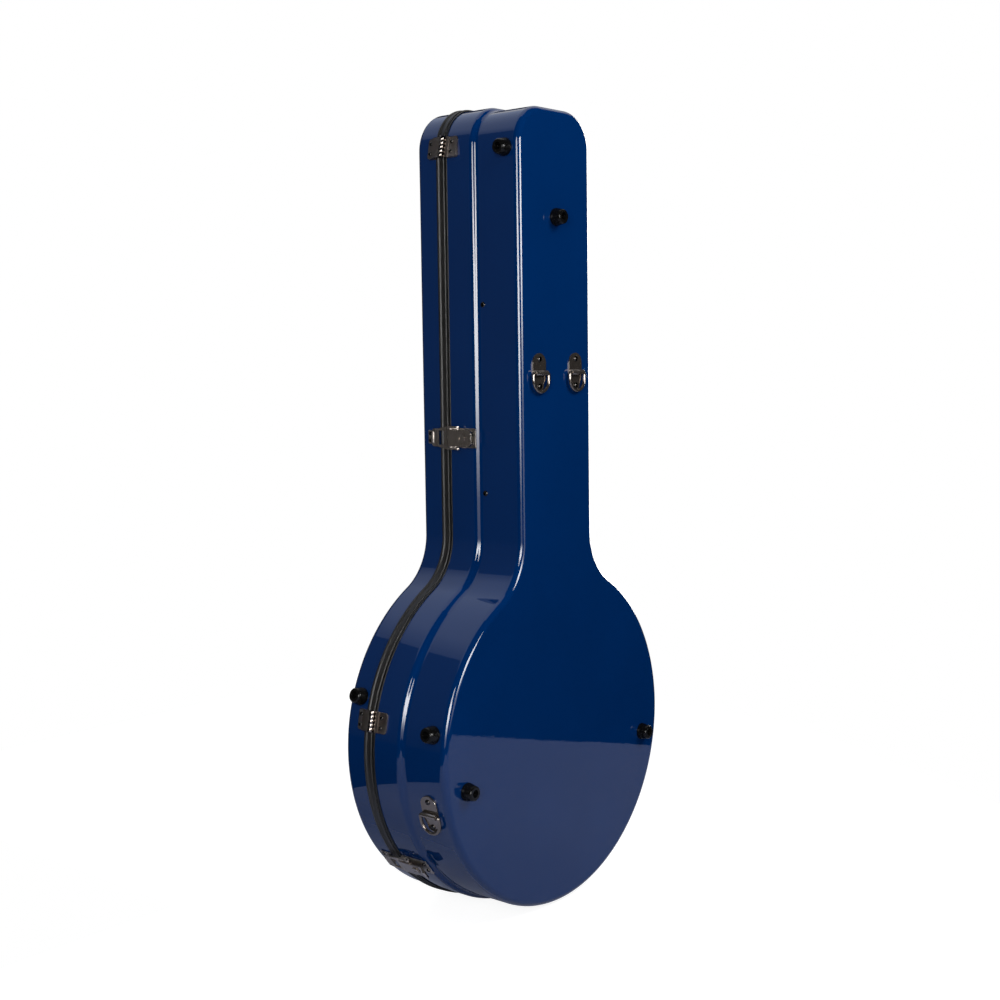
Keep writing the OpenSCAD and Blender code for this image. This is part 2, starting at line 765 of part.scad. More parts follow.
module strap_plate(below) {
  barrel = ring_wire + running;
  difference() {
    union() {
      translate([0, 0, -below]) linear_extrude(strap_plate_thickness + below) strap_outline();
      translate([0, 0, ring_out]) rotate([0, 90, 0])
        cylinder(r = barrel + roll, h = 2 * (ring_half - ring_bend), center = true);
    }
    translate([0, 0, ring_out]) rotate([0, 90, 0])
      cylinder(r = barrel, h = 2 * lobe_radius + 2 * overcut, center = true);
  }
}

module ring() {
  rotate([0, 90, 0]) cylinder(r = ring_wire, h = 2 * (ring_half - ring_bend), center = true);
  for (s = [0, 1]) mirror([s, 0, 0]) {
    translate([ring_half - ring_bend, -ring_bend, 0])
      rotate_extrude(angle = 90) translate([ring_bend, 0]) circle(ring_wire);
    translate([ring_half, -ring_bend, 0]) rotate([90, 0, 0]) cylinder(r = ring_wire, h = ring_leg - ring_bend);
  }
  translate([0, -ring_leg, 0]) rotate([0, 0, 180])
    rotate_extrude(angle = 180) translate([ring_half, 0]) circle(ring_wire);
}

module at_upper_strap(side) { on_back(side * strap_side, strap_height) children(); }
module at_lower_strap() { on_bowl(-low_strap_angle, low_strap_depth, ridge_step) children(); }

module at_straps() {
  for (s = [-1, 1]) at_upper_strap(s) children();
  at_lower_strap() children();
  far_side() at_lower_strap() children();
}

module strap_plates() {
  color("silver") in_frame() {
    for (s = [-1, 1]) at_upper_strap(s) strap_plate(0);
    difference() {
      union() {
        at_lower_strap() strap_plate(wall);
        far_side() at_lower_strap() strap_plate(wall);
      }
      slab(ridge_step, edge_radius, ridge_bottom, $fn = 720);
    }
  }
}

module hung_ring(lean) { translate([0, 0, ring_out]) rotate([-lean, 0, 0]) ring(); }

module upper_left_ring() { color("silver") in_frame() at_upper_strap(-1) hung_ring(0); }
module upper_right_ring() { color("silver") in_frame() at_upper_strap(1) hung_ring(0); }
module lower_left_ring() { color("silver") in_frame() at_lower_strap() hung_ring(ring_lean); }
module lower_right_ring() { color("silver") in_frame() far_side() at_lower_strap() hung_ring(ring_lean); }

// Handle on the far side, folded towards the lid
module at_handle() { far_side() on_neck(shoulder_z + handle_rise, handle_depth, ridge_step) children(); }

module handle_bracket() {
  gap = lug_width / 2 + seat_gap;
  translate([-bracket_length / 2, -gap - bracket, 0])
    cube([bracket_length, 2 * (gap + bracket), bracket]);
  for (s = [-1, 1])
    translate([0, s * (gap + bracket / 2), 0]) across(bracket) difference() {
      union() {
        translate([0, handle_pin_out]) circle(lug_radius);
        polygon([[-2 * lug_radius, 0], [2 * lug_radius, 0], [lug_radius * 0.9, handle_pin_out],
          [-lug_radius * 0.9, handle_pin_out]]);
      }
      translate([0, handle_pin_out]) circle(handle_pin);
    }
}

module handle_brackets() {
  color("dimgray") in_frame() at_handle() for (s = [-1, 1]) translate([0, s * handle_half, 0]) handle_bracket();
}

module handle_pins() {
  reach = lug_width + 2 * (seat_gap + bracket);
  color("silver") in_frame() at_handle() for (s = [-1, 1])
    translate([0, s * handle_half, handle_pin_out]) rotate([90, 0, 0])
      cylinder(r = handle_pin, h = reach, center = true);
}

module handle_arm() {
  difference() {
    union() {
      translate([0, handle_pin_out]) circle(lug_radius);
      translate([-grip_reach, grip_out]) circle(grip_radius);
      polygon([[0, handle_pin_out - lug_radius], [-grip_reach, grip_out - grip_radius],
        [-grip_reach, grip_out + grip_radius * 0.8], [0, handle_pin_out + lug_radius]]);
    }
    translate([0, handle_pin_out]) circle(handle_pin + running);
  }
}

module handle_grip() {
  color("black") in_frame() at_handle() {
    for (s = [-1, 1]) translate([0, s * handle_half, 0]) across(lug_width) handle_arm();
    translate([-grip_reach, 0, grip_out]) rotate([90, 0, 0])
      cylinder(r = grip_radius, h = 2 * handle_half, center = true);
  }
}

// Accessory compartment under the neck
module board_outline(pin_hole) {
  difference() {
    translate([-inner_half, bed_depth]) square([2 * inner_half, wall_top - bed_depth]);
    translate([0, notch_depth + notch_radius]) circle(notch_radius);
    if (pin_hole) translate([lid_board_x, lid_board_depth]) circle(board_pin);
  }
}

// Stands a drawing of the cross-section up, from one height to another
module upright(from, height) { translate([0, 0, from]) linear_extrude(height) children(); }

module compartment_walls() {
  ledge = lid_board_depth - lid_board / 2 - seat_gap;
  color("tan") in_frame() {
    for (z = [compartment_height, compartment_top])
      upright(z - board / 2, board) board_outline(true);
    upright(compartment_height + board / 2, compartment_length - board)
      translate([inner_half - board, ledge - board]) square([board, board]);
  }
}

module compartment_pins() {
  color("silver") in_frame() for (z = [compartment_height - board / 2, compartment_top - board * 1.5])
    translate([lid_board_x, lid_board_depth, z]) cylinder(r = board_pin, h = 2 * board);
}

module compartment_lid() {
  middle = (compartment_height + compartment_top) / 2;
  color("burlywood") in_frame() difference() {
    upright(compartment_height + board / 2 + seat_gap, compartment_length - board - 2 * seat_gap)
      difference() {
        union() {
          translate([lid_board_x, lid_board_depth]) circle(lid_barrel);
          translate([lid_board_x, lid_board_depth - lid_board / 2])
            square([inner_half - lid_board_x - seat_gap, lid_board]);
        }
        translate([lid_board_x, lid_board_depth]) circle(board_pin + running);
      }
    translate([inner_half - 2 * board - finger_hole, lid_board_depth, middle])
      rotate([90, 0, 0]) cylinder(r = finger_hole, h = lid_board + overcut, center = true);
  }
}

module neck_rest() {
  color("slategray") in_frame() upright(compartment_top + board / 2 + rest_rise, rest_length)
    translate([0, seat_gap]) board_outline(false);
}

module small_screws() {
  color("silver") in_frame() {
    at_hinges() for (s = [-1, 1])
      translate([hinge_out - leaf, -trim_reach - shell_leaf_width / 2, s * hinge_length / 4])
        rotate([0, -90, 0]) small_head();
    at_latches() for (s = [-1, 1])
      translate([base_end - 5, s * base_half / 2, latch_plate]) small_head();
    at_handle() for (s = [-1, 1], t = [-1, 1])
      translate([t * (bracket_length / 2 - small_head), s * handle_half, bracket]) small_head();
  }
}

module lid_screws() {
  color("silver") in_frame() {
    at_hinges() for (s = [-1, 1])
      translate([hinge_out - leaf, seal_height + leaf + lid_leaf_width / 2, s * hinge_length / 4])
        rotate([0, -90, 0]) small_head();
    at_latches() for (s = [-1, 1])
      translate([-keeper_place - keeper_length + 4, s * keeper_width / 4, latch_plate]) small_head();
  }
}

module large_screws() {
  color("silver") in_frame() {
    at_straps() for (y = [lobe_rise + lobe_screw, -tail_drop - tail_screw])
      translate([0, y, strap_plate_thickness]) large_head();
    for (s = [0, 1], z = [compartment_height, compartment_top])
      mirror([s, 0, 0]) on_neck(z, ridge_bottom - large_head - seat_gap, ridge_step) large_head();
    at_back_feet() translate([0, 0, foot_floor]) large_head();
    at_side_feet() translate([0, 0, foot_floor]) large_head();
  }
}

back_shell();
rim_trim();
shell_lining();
lid_shell();
lid_seal();
lid_lining();
shell_leaves();
lid_leaves();
hinge_pins();
latch_bases();
latch_pins();
latch_keepers();
neck_lever();
low_lever();
far_top_lever();
far_neck_lever();
far_bowl_lever();
far_low_lever();
neck_bail();
low_bail();
far_top_bail();
far_neck_bail();
far_bowl_bail();
far_low_bail();
back_feet();
side_feet();
lid_foot();
lid_foot_screw();
strap_plates();
upper_left_ring();
upper_right_ring();
lower_left_ring();
lower_right_ring();
small_screws();
lid_screws();
large_screws();
handle_brackets();
handle_pins();
handle_grip();
compartment_walls();
compartment_pins();
compartment_lid();
neck_rest();
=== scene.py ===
import bpy, bmesh, math
from mathutils import Vector, Matrix, noise as mnoise


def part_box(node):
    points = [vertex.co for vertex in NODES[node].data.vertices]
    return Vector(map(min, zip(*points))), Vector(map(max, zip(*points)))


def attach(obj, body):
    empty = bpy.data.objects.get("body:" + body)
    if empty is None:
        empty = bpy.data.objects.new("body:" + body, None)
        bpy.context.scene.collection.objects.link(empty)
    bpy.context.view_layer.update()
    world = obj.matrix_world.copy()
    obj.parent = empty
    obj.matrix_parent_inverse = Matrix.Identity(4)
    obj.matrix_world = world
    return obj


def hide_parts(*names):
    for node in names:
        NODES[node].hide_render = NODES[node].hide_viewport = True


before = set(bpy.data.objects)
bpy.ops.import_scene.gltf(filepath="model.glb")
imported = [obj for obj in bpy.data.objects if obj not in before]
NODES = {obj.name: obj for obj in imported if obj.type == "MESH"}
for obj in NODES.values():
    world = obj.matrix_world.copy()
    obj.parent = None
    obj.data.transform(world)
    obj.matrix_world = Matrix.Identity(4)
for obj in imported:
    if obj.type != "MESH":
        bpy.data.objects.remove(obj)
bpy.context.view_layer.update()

# Sizes of the case in metres, the same as in the CAD
LOW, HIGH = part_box("back_shell")
Z0 = LOW.z
R = HIGH.x
LENGTH = HIGH.z - LOW.z
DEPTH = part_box("lid_shell")[1].y
NECK = 0.072
SHOULDER = 0.07155
CORNER = 0.048
PARTING = 0.108
RIM = 0.0025
STEP = 0.005
RIDGE = 0.065
RIDGE_RUN = 0.011
EDGE = 0.008
WALL = 0.0032
FLANGE = CORNER - EDGE
RUBBER = 0.0012
SIDE_PAD = 0.020
BED = 0.014
LID_PAD = 0.0103
LID_SIDE_PAD = 0.014
FLOOR = Z0 - 0.0012
MERGE = 0.00001


def new_object(name, data):
    ob = bpy.data.objects.new(name, data)
    bpy.context.scene.collection.objects.link(ob)
    return ob


def smooth_faces(me, sharp):
    """Smooth shading, with edges sharper than an angle in degrees left sharp."""
    me.polygons.foreach_set("use_smooth", [True] * len(me.polygons))
    me.set_sharp_from_angle(angle=math.radians(sharp))


# Material helpers
def empty_tree(owner):
    """The node tree of a material or a world, cleared."""
    owner.use_nodes = True
    owner.node_tree.nodes.clear()
    return owner.node_tree


def material(name):
    m = bpy.data.materials.new(name)
    nt = empty_tree(m)
    out = nt.nodes.new("ShaderNodeOutputMaterial")
    b = nt.nodes.new("ShaderNodeBsdfPrincipled")
    nt.links.new(b.outputs[0], out.inputs[0])
    return m, nt, b


def node(nt, kind, **values):
    n = nt.nodes.new(kind)
    for k, v in values.items():
        if k in n.inputs.keys():
            n.inputs[k].default_value = v
        else:
            setattr(n, k, v)
    return n


def calc(nt, operation, *values):
    """A Math node; numbers are set on its sockets and outputs are linked to them."""
    n = node(nt, "ShaderNodeMath", operation=operation)
    for socket, v in zip(n.inputs, values):
        if isinstance(v, (int, float)):
            socket.default_value = v
        else:
            nt.links.new(v, socket)
    return n.outputs[0]


def blend_shaders(nt, fac, a, b):
    n = nt.nodes.new("ShaderNodeMixShader")
    for output, socket in zip((fac, a, b), n.inputs):
        nt.links.new(output, socket)
    return n.outputs[0]


def coords(nt, scale=(1, 1, 1)):
    v = nt.nodes.new("ShaderNodeTexCoord").outputs["Object"]
    if scale == (1, 1, 1):
        return v
    m = node(nt, "ShaderNodeMapping", Scale=scale)
    nt.links.new(v, m.inputs["Vector"])
    return m.outputs["Vector"]


def noise(nt, vec, scale, detail=3.0, rough=0.5):
    n = node(nt, "ShaderNodeTexNoise", Scale=scale, Detail=detail, Roughness=rough)
    nt.links.new(vec, n.inputs["Vector"])
    return n.outputs["Fac"]


def ramp(nt, fac, stops):
    r = nt.nodes.new("ShaderNodeValToRGB")
    nt.links.new(fac, r.inputs["Fac"])
    e = r.color_ramp.elements
    e[0].position, e[0].color = stops[0][0], stops[0][1]
    e[1].position, e[1].color = stops[-1][0], stops[-1][1]
    for p, c in stops[1:-1]:
        s = e.new(p)
        s.color = c
    return r.outputs["Color"]


def between(nt, fac, a, b, lo, hi):
    """Maps fac from the range a to b onto the range lo to hi."""
    n = node(nt, "ShaderNodeMapRange")
    for key, v in (("From Min", a), ("From Max", b), ("To Min", lo), ("To Max", hi)):
        n.inputs[key].default_value = v
    nt.links.new(fac, n.inputs["Value"])
    return n.outputs["Result"]


def bump(nt, height, strength, distance, normal=None):
    b = node(nt, "ShaderNodeBump", Strength=strength, Distance=distance)
    nt.links.new(height, b.inputs["Height"])
    if normal is not None:
        nt.links.new(normal, b.inputs["Normal"])
    return b.outputs["Normal"]


def shades(base, spread):
    lo = tuple(c * (1 - spread) for c in base) + (1,)
    hi = tuple(min(1.0, c * (1 + spread)) for c in base) + (1,)
    return lo, hi


def paint():
    """Deep blue lacquer: a matt pigment under a clear glossy coat."""
    m, nt, b = material("blue_lacquer")
    v = coords(nt)
    lo, hi = shades((0.0002, 0.0165, 0.081), 0.05)
    nt.links.new(ramp(nt, noise(nt, v, 8.0, 2.0), [(0.3, lo), (0.7, hi)]), b.inputs["Base Color"])
    b.inputs["Roughness"].default_value = 0.6
    b.inputs["Specular IOR Level"].default_value = 0.0
    b.inputs["Coat Weight"].default_value = 1.0
    b.inputs["Coat Roughness"].default_value = 0.018
    b.inputs["Coat IOR"].default_value = 1.45
    peel = noise(nt, v, 190.0, 2.0)
    nt.links.new(bump(nt, peel, 0.035, 0.0004), b.inputs["Coat Normal"])
    return m


def rubber(name, base, rough, scale=900.0, grain=0.10, level=0.45):
    m, nt, b = material(name)
    v = coords(nt)
    f = noise(nt, v, 60.0, 4.0, 0.6)
    lo, hi = shades(base, 0.22)
    nt.links.new(ramp(nt, f, [(0.3, lo), (0.7, hi)]), b.inputs["Base Color"])
    nt.links.new(between(nt, f, 0.3, 0.7, rough - 0.05, rough + 0.06), b.inputs["Roughness"])
    b.inputs["Specular IOR Level"].default_value = level
    nt.links.new(bump(nt, noise(nt, v, scale, 3.0), grain, 0.0003), b.inputs["Normal"])
    return m


BARREL_BLEND = 0.0006
RUBBED = (0.62, 0.59, 0.56, 1)


def metal(name, base, rough, streak=(1, 1, 1), worn=0.25, barrel=None, plated=1.0):
    """Smoked chrome: clean plating with faint smears and lighter rubbed edges. A barrel has a depth, a reach
    and a roughness: round that depth, as on hinge knuckles, the plating is smoother."""
    m, nt, b = material(name)
    v = coords(nt)
    f = noise(nt, v, 90.0, 3.0, 0.55)
    lo, hi = shades(base, 0.10)
    tint = ramp(nt, f, [(0.32, lo), (0.68, hi)])
    point = nt.nodes.new("ShaderNodeNewGeometry").outputs["Pointiness"]
    rub = between(nt, point, 0.52, 0.60, 0.0, worn)
    mix = node(nt, "ShaderNodeMix", data_type="RGBA")
    nt.links.new(rub, mix.inputs[0])
    nt.links.new(tint, mix.inputs[6])
    mix.inputs[7].default_value = RUBBED
    nt.links.new(mix.outputs[2], b.inputs["Base Color"])
    b.inputs["Metallic"].default_value = plated
    smear = noise(nt, coords(nt, streak), 160.0, 3.0, 0.6)
    dull = between(nt, smear, 0.3, 0.7, rough - 0.03, rough + 0.05)
    if barrel:
        split = nt.nodes.new("ShaderNodeSeparateXYZ")
        nt.links.new(v, split.inputs[0])
        depth, reach, polish = barrel
        away = calc(nt, "ABSOLUTE", calc(nt, "SUBTRACT", split.outputs[1], depth))
        plate = between(nt, away, reach, reach + BARREL_BLEND, 0.0, 1.0)
        blend = node(nt, "ShaderNodeMix", data_type="FLOAT")
        nt.links.new(plate, blend.inputs[0])
        blend.inputs[2].default_value = polish
        nt.links.new(dull, blend.inputs[3])
        dull = blend.outputs[0]
    nt.links.new(dull, b.inputs["Roughness"])
    nt.links.new(bump(nt, smear, 0.02, 0.0001), b.inputs["Normal"])
    return m


def plush(name, base, pile=1.0):
    """Short-pile plush: brushed patches, sheen and a fine fibre grain."""
    m, nt, b = material(name)
    v = coords(nt)
    big = noise(nt, v, 22.0, 3.0, 0.6)
    fibre = noise(nt, coords(nt, (1, 1, 0.55)), 1400.0, 4.0, 0.7)
    lo, hi = shades(base, 0.28)
    patch = ramp(nt, big, [(0.3, lo), (0.7, hi)])
    tip = node(nt, "ShaderNodeMix", data_type="RGBA", blend_type="MULTIPLY")
    nt.links.new(patch, tip.inputs[6])
    nt.links.new(ramp(nt, fibre, [(0.3, (0.55, 0.55, 0.55, 1)), (0.7, (1.35, 1.35, 1.35, 1))]), tip.inputs[7])
    tip.inputs[0].default_value = 1.0
    nt.links.new(tip.outputs[2], b.inputs["Base Color"])
    b.inputs["Roughness"].default_value = 0.95
    b.inputs["Specular IOR Level"].default_value = 0.12
    b.inputs["Sheen Weight"].default_value = 0.6
    b.inputs["Sheen Roughness"].default_value = 0.4
    b.inputs["Sheen Tint"].default_value = (0.5, 0.55, 0.75, 1)
    n = bump(nt, fibre, 0.5 * pile, 0.0012)
    n = bump(nt, big, 0.22 * pile, 0.006, n)
    nt.links.new(n, b.inputs["Normal"])
    return m


def leather(name, base):
    m, nt, b = material(name)
    v = coords(nt)
    cell = node(nt, "ShaderNodeTexVoronoi", Scale=620.0, feature="DISTANCE_TO_EDGE")
    nt.links.new(v, cell.inputs["Vector"])
    grain = between(nt, cell.outputs["Distance"], 0.0, 0.12, 0.0, 1.0)
    lo, hi = shades(base, 0.25)
    nt.links.new(ramp(nt, noise(nt, v, 45.0, 3.0), [(0.3, lo), (0.7, hi)]), b.inputs["Base Color"])
    nt.links.new(between(nt, grain, 0.0, 1.0, 0.62, 0.42), b.inputs["Roughness"])
    b.inputs["Specular IOR Level"].default_value = 0.4
    nt.links.new(bump(nt, grain, 0.35, 0.0004), b.inputs["Normal"])
    return m


PAINT = paint()
SEAL = rubber("seal_rubber", (0.0105, 0.0100, 0.0095), 0.44, level=0.34)
TRIM = rubber("trim_rubber", (0.006, 0.006, 0.006), 0.38, level=0.22)
FOOT = rubber("foot_rubber", (0.003, 0.003, 0.003), 0.20, 700.0, 0.05, 0.16)
GRIP = leather("grip_leather", (0.012, 0.011, 0.011))
DARK = metal("smoked_chrome", (0.34, 0.30, 0.265), 0.42, (1, 1, 0.3))
HINGE_DEPTH = sum(c.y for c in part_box("hinge_pins")) / 2
LEAF = metal("hinge_chrome", (0.155, 0.130, 0.113), 0.42, (1, 1, 0.3), barrel=(HINGE_DEPTH, 0.0042, 0.12))
GLOSS = metal("bright_smoked_chrome", (0.150, 0.128, 0.112), 0.13, worn=0.24, plated=0.86)
LEVER = metal("lever_chrome", (0.27, 0.235, 0.21), 0.13, worn=0.34, plated=0.86)
PIN = metal("pin_steel", (0.34, 0.32, 0.31), 0.16)
SCREW = metal("black_screw", (0.045, 0.042, 0.040), 0.16, worn=0.12)
PLUSH = plush("plush", (0.027, 0.032, 0.050))
BOARD = plush("board_cloth", (0.040, 0.044, 0.060), 0.6)

LOOK = {"back_shell": PAINT, "lid_shell": PAINT, "rim_trim": TRIM, "lid_seal": SEAL,
        "shell_lining": PLUSH, "lid_lining": PLUSH, "neck_rest": PLUSH,
        "compartment_walls": BOARD, "compartment_lid": BOARD, "compartment_pins": PIN,
        "handle_grip": GRIP, "back_feet": FOOT, "side_feet": FOOT, "lid_foot": FOOT,
        "hinge_pins": PIN, "latch_pins": PIN, "handle_pins": PIN,
        "large_screws": SCREW, "small_screws": SCREW, "lid_screws": SCREW, "lid_foot_screw": SCREW,
        "strap_plates": GLOSS, "shell_leaves": LEAF, "lid_leaves": LEAF}
DRESSED = ("back_shell", "lid_shell", "rim_trim", "lid_seal", "shell_lining", "lid_lining", "neck_rest",
           "large_screws", "small_screws", "lid_screws", "lid_foot_screw")
METAL_BEVEL = 0.00035
FOOT_BEVEL = 0.0011
for name, ob in NODES.items():
    m = LOOK.get(name, GLOSS if "ring" in name else LEVER if "lever" in name else DARK)
    ob.data.materials.clear()
    ob.data.materials.append(m)
    if name in DRESSED:
        continue
    weld = ob.modifiers.new("weld", "WELD")
    weld.merge_threshold = MERGE
    edge = ob.modifiers.new("edge", "BEVEL")
    edge.limit_method = "ANGLE"
    edge.angle_limit = math.radians(38)
    edge.width = FOOT_BEVEL if m is FOOT else METAL_BEVEL
    edge.segments = 3 if m is FOOT else 2
    edge.harden_normals = True


# The outline of the case: stations from the bottom, up the hinge side, over the top and down
COLUMNS = 36
BOWL_STEPS, SHOULDER_STEPS, NECK_STEPS, CORNER_STEPS = 190, 44, 66, 34
BOTTOM_HALF = 0.018


def left_stations():
    sx = NECK + SHOULDER
    reach = R + SHOULDER
    sz = R + math.sqrt(reach * reach - sx * sx)
    turn = math.acos(sx / reach)
    out = []
    first = -math.pi / 2 + BOTTOM_HALF
    for i in range(BOWL_STEPS + 1):
        t = first + (turn - first) * i / BOWL_STEPS
        out.append((-R * math.cos(t), R + R * math.sin(t), math.cos(t), -math.sin(t)))
    for i in range(1, SHOULDER_STEPS + 1):
        t = turn * (1 - i / SHOULDER_STEPS)
        out.append((-sx + SHOULDER * math.cos(t), sz - SHOULDER * math.sin(t), math.cos(t), -math.sin(t)))
    top = LENGTH - CORNER
    for i in range(1, NECK_STEPS + 1):
        out.append((-NECK, sz + (top - sz) * i / NECK_STEPS, 1.0, 0.0))
    for i in range(1, CORNER_STEPS + 1):
        t = math.pi / 2 * i / CORNER_STEPS
        out.append((-(NECK - CORNER) - CORNER * math.cos(t), top + CORNER * math.sin(t), math.cos(t), -math.sin(t)))
    return out


def stations():
    left = left_stations()
    right = [(-x, z, -nx, nz) for x, z, nx, nz in reversed(left)]
    top = []
    for i in range(1, COLUMNS):
        s = i / COLUMNS
        top.append((left[-1][0] * (1 - 2 * s), LENGTH, 0.0, -1.0))
    bottom = []
    for i in range(1, COLUMNS):
        t = -math.pi / 2 - BOTTOM_HALF + 2 * BOTTOM_HALF * i / COLUMNS
        bottom.append((-R * math.cos(t), R + R * math.sin(t), math.cos(t), -math.sin(t)))
    return left, top, right, bottom


LEFT, TOP, RIGHT, BOTTOM = stations()
LOOP = LEFT + TOP + RIGHT + BOTTOM
ROWS = len(LEFT)


def add_ring(bm, inset, depth):
    return [bm.verts.new((x + nx * inset, depth, Z0 + z + nz * inset)) for x, z, nx, nz in LOOP]


def join_rings(bm, a, b):
    n = len(a)
    for k in range(n):
        bm.faces.new((a[k], a[(k + 1) % n], b[(k + 1) % n], b[k]))


def fill_face(bm, ring):
    """Closes a ring with rows across the case, so that the flat face can follow a slight wave."""
    rows = []
    m = COLUMNS
    for i in range(ROWS):
        a, b = ring[i], ring[2 * ROWS + m - 2 - i]
        if i == 0:
            low = ring[2 * ROWS + m - 1:]
            row = [a] + [low[m - 1 - c] for c in range(1, m)] + [b]
        elif i == ROWS - 1:
            row = [a] + ring[ROWS:ROWS + m - 1] + [b]
        else:
            row = [a]
            for c in range(1, m):
                row.append(bm.verts.new(a.co.lerp(b.co, c / m)))
            row.append(b)
        rows.append(row)
    for i in range(ROWS - 1):
        for c in range(m):
            bm.faces.new((rows[i][c], rows[i][c + 1], rows[i + 1][c + 1], rows[i + 1][c]))


def finish_mesh(bm, name, mat, sharp=35.0, wave=0.0, wave_scale=8.0):
    bmesh.ops.recalc_face_normals(bm, faces=bm.faces)
    if wave:
        bm.normal_update()
        shift = [(v, v.normal * (wave * mnoise.noise(v.co * wave_scale)
                                 + 0.25 * wave * mnoise.noise(v.co * (wave_scale * 3.1)))) for v in bm.verts]
        for v, d in shift:
            v.co += d
    me = bpy.data.meshes.new(name)
    bm.to_mesh(me)
    bm.free()
    smooth_faces(me, sharp)
    me.materials.append(mat)
    return new_object(name, me)


def put(ob, body, replaced):
    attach(ob, body)
    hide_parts(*replaced)


def arc(cx, cy, r, start, end, n):
    """Points of an arc from one angle to another, in degrees."""
    return [(cx + r * math.cos(math.radians(start + (end - start) * i / n)),
             cy + r * math.sin(math.radians(start + (end - start) * i / n))) for i in range(n + 1)]


def spread(a, b, n):
    """Points between two points, both left out."""
    return [(a[0] + (b[0] - a[0]) * i / n, a[1] + (b[1] - a[1]) * i / n) for i in range(1, n)]


# Steps of the section: rows beside a curve, the lip at the rim, the row round the flat face
SUPPORT = 0.0007
LIP = 0.0006
FACE_ROW = 0.010
RIPPLE, RIPPLE_SCALE = 0.00007, 7.0


def shell_path():
    rim = PARTING - RIM
    back_edge = STEP + EDGE
    curve = (STEP ** 2 + RIDGE_RUN ** 2) / (4 * STEP)
    top, low = RIDGE + RIDGE_RUN / 2, RIDGE - RIDGE_RUN / 2
    lean = math.degrees(math.acos(1 - STEP / 2 / curve))
    outside = [(0.0, rim), (0.0, rim - LIP)] + spread((0, rim), (0, top), 7) + [(0.0, top + SUPPORT)]
    outside += arc(curve, top, curve, 180, 180 + lean, 9)
    outside += arc(STEP - curve, low, curve, lean, 0, 9)[1:]
    outside += [(STEP, low - SUPPORT)] + spread((STEP, low), (STEP, EDGE), 9) + [(STEP, EDGE + SUPPORT)]
    outside += arc(back_edge, EDGE, EDGE, 180, 270, 16)
    outside += [(back_edge + SUPPORT, 0.0), (back_edge + FACE_ROW, 0.0), (FLANGE, 0.0)]
    inside = [(WALL, rim), (WALL, top - 0.001), (WALL + STEP, low - 0.001), (WALL + STEP, EDGE + 0.002),
              (back_edge, WALL), (FLANGE, WALL)]
    return outside, inside


def lid_path():
    rim = PARTING + RIM
    outside = [(0.0, rim), (0.0, rim + LIP)] + spread((0, rim), (0, DEPTH - EDGE), 6)
    outside += [(0.0, DEPTH - EDGE - SUPPORT)] + arc(EDGE, DEPTH - EDGE, EDGE, 180, 90, 16)
    outside += [(EDGE + SUPPORT, DEPTH), (EDGE + FACE_ROW, DEPTH), (FLANGE, DEPTH)]
    inside = [(WALL, rim), (WALL, DEPTH - EDGE), (EDGE, DEPTH - WALL), (FLANGE, DEPTH - WALL)]
    return outside, inside


def shell_mesh(name, paths, body, replaced):
    outside, inside = paths
    bm = bmesh.new()
    path = list(reversed(outside)) + inside
    rings = [add_ring(bm, *p) for p in path]
    for a, b in zip(rings, rings[1:]):
        join_rings(bm, a, b)
    fill_face(bm, rings[0])
    fill_face(bm, rings[-1])
    put(finish_mesh(bm, name, PAINT, 40.0, RIPPLE, RIPPLE_SCALE), body, [replaced])


def band_mesh(name, section, mat, body, replaced):
    bm = bmesh.new()
    rings = [add_ring(bm, *p) for p in section]
    for a, b in zip(rings, rings[1:] + rings[:1]):
        join_rings(bm, a, b)
    put(finish_mesh(bm, name, mat, 50.0), body, [replaced])


shell_mesh("painted_shell", shell_path(), "shell", "back_shell")
shell_mesh("painted_lid", lid_path(), "lid", "lid_shell")

# Rubber trim on the shell's rim, with its tongue
SEAM_HALF = 0.00015
RIM_TOP = PARTING - SEAM_HALF
LAP = PARTING - 0.0035
TRIM_FOOT = PARTING - 0.0065
trim = arc(-RUBBER + 0.0007, LAP + 0.0007, 0.0007, 270, 180, 4)
trim += arc(-RUBBER + 0.0006, RIM_TOP - 0.0006, 0.0006, 180, 90, 4)
trim += [(0.005, RIM_TOP), (0.005, PARTING + 0.0045)] + arc(0.006, PARTING + 0.004, 0.001, 180, 0, 6)
trim += [(0.007, TRIM_FOOT), (WALL, TRIM_FOOT), (WALL, PARTING - RIM), (0.0, PARTING - RIM), (0.0, LAP)]
band_mesh("rim_trim_band", trim, TRIM, "shell", "rim_trim")

# Rubber seal of the lid: a lip at the seam, a flat web and a round bead
SEAM = PARTING + SEAM_HALF
BEAD_BACK = PARTING + 0.0093
seal = arc(-RUBBER, SEAM + RUBBER, RUBBER, 270, 104, 9)
seal += [(-0.00125, SEAM + 0.0030), (-0.0012, PARTING + 0.0072)]
seal += arc(-0.0002, PARTING + 0.0103, 0.0026, 236, 92, 14)
seal += [(0.0, PARTING + 0.0127), (0.0, PARTING + RIM), (WALL, PARTING + RIM), (WALL, BEAD_BACK),
         (WALL + RUBBER, BEAD_BACK), (WALL + RUBBER, SEAM)]
band_mesh("lid_seal_band", seal, SEAL, "lid", "lid_seal")


# Screws: domed heads with a cross recess, at the places of the CAD's screws
SIDES = 40
CROSS_WIDTH, CROSS_REACH, CROSS_DEPTH, CROSS_TAPER = 0.13, 0.62, 0.62, 0.55
DOME = 1.25


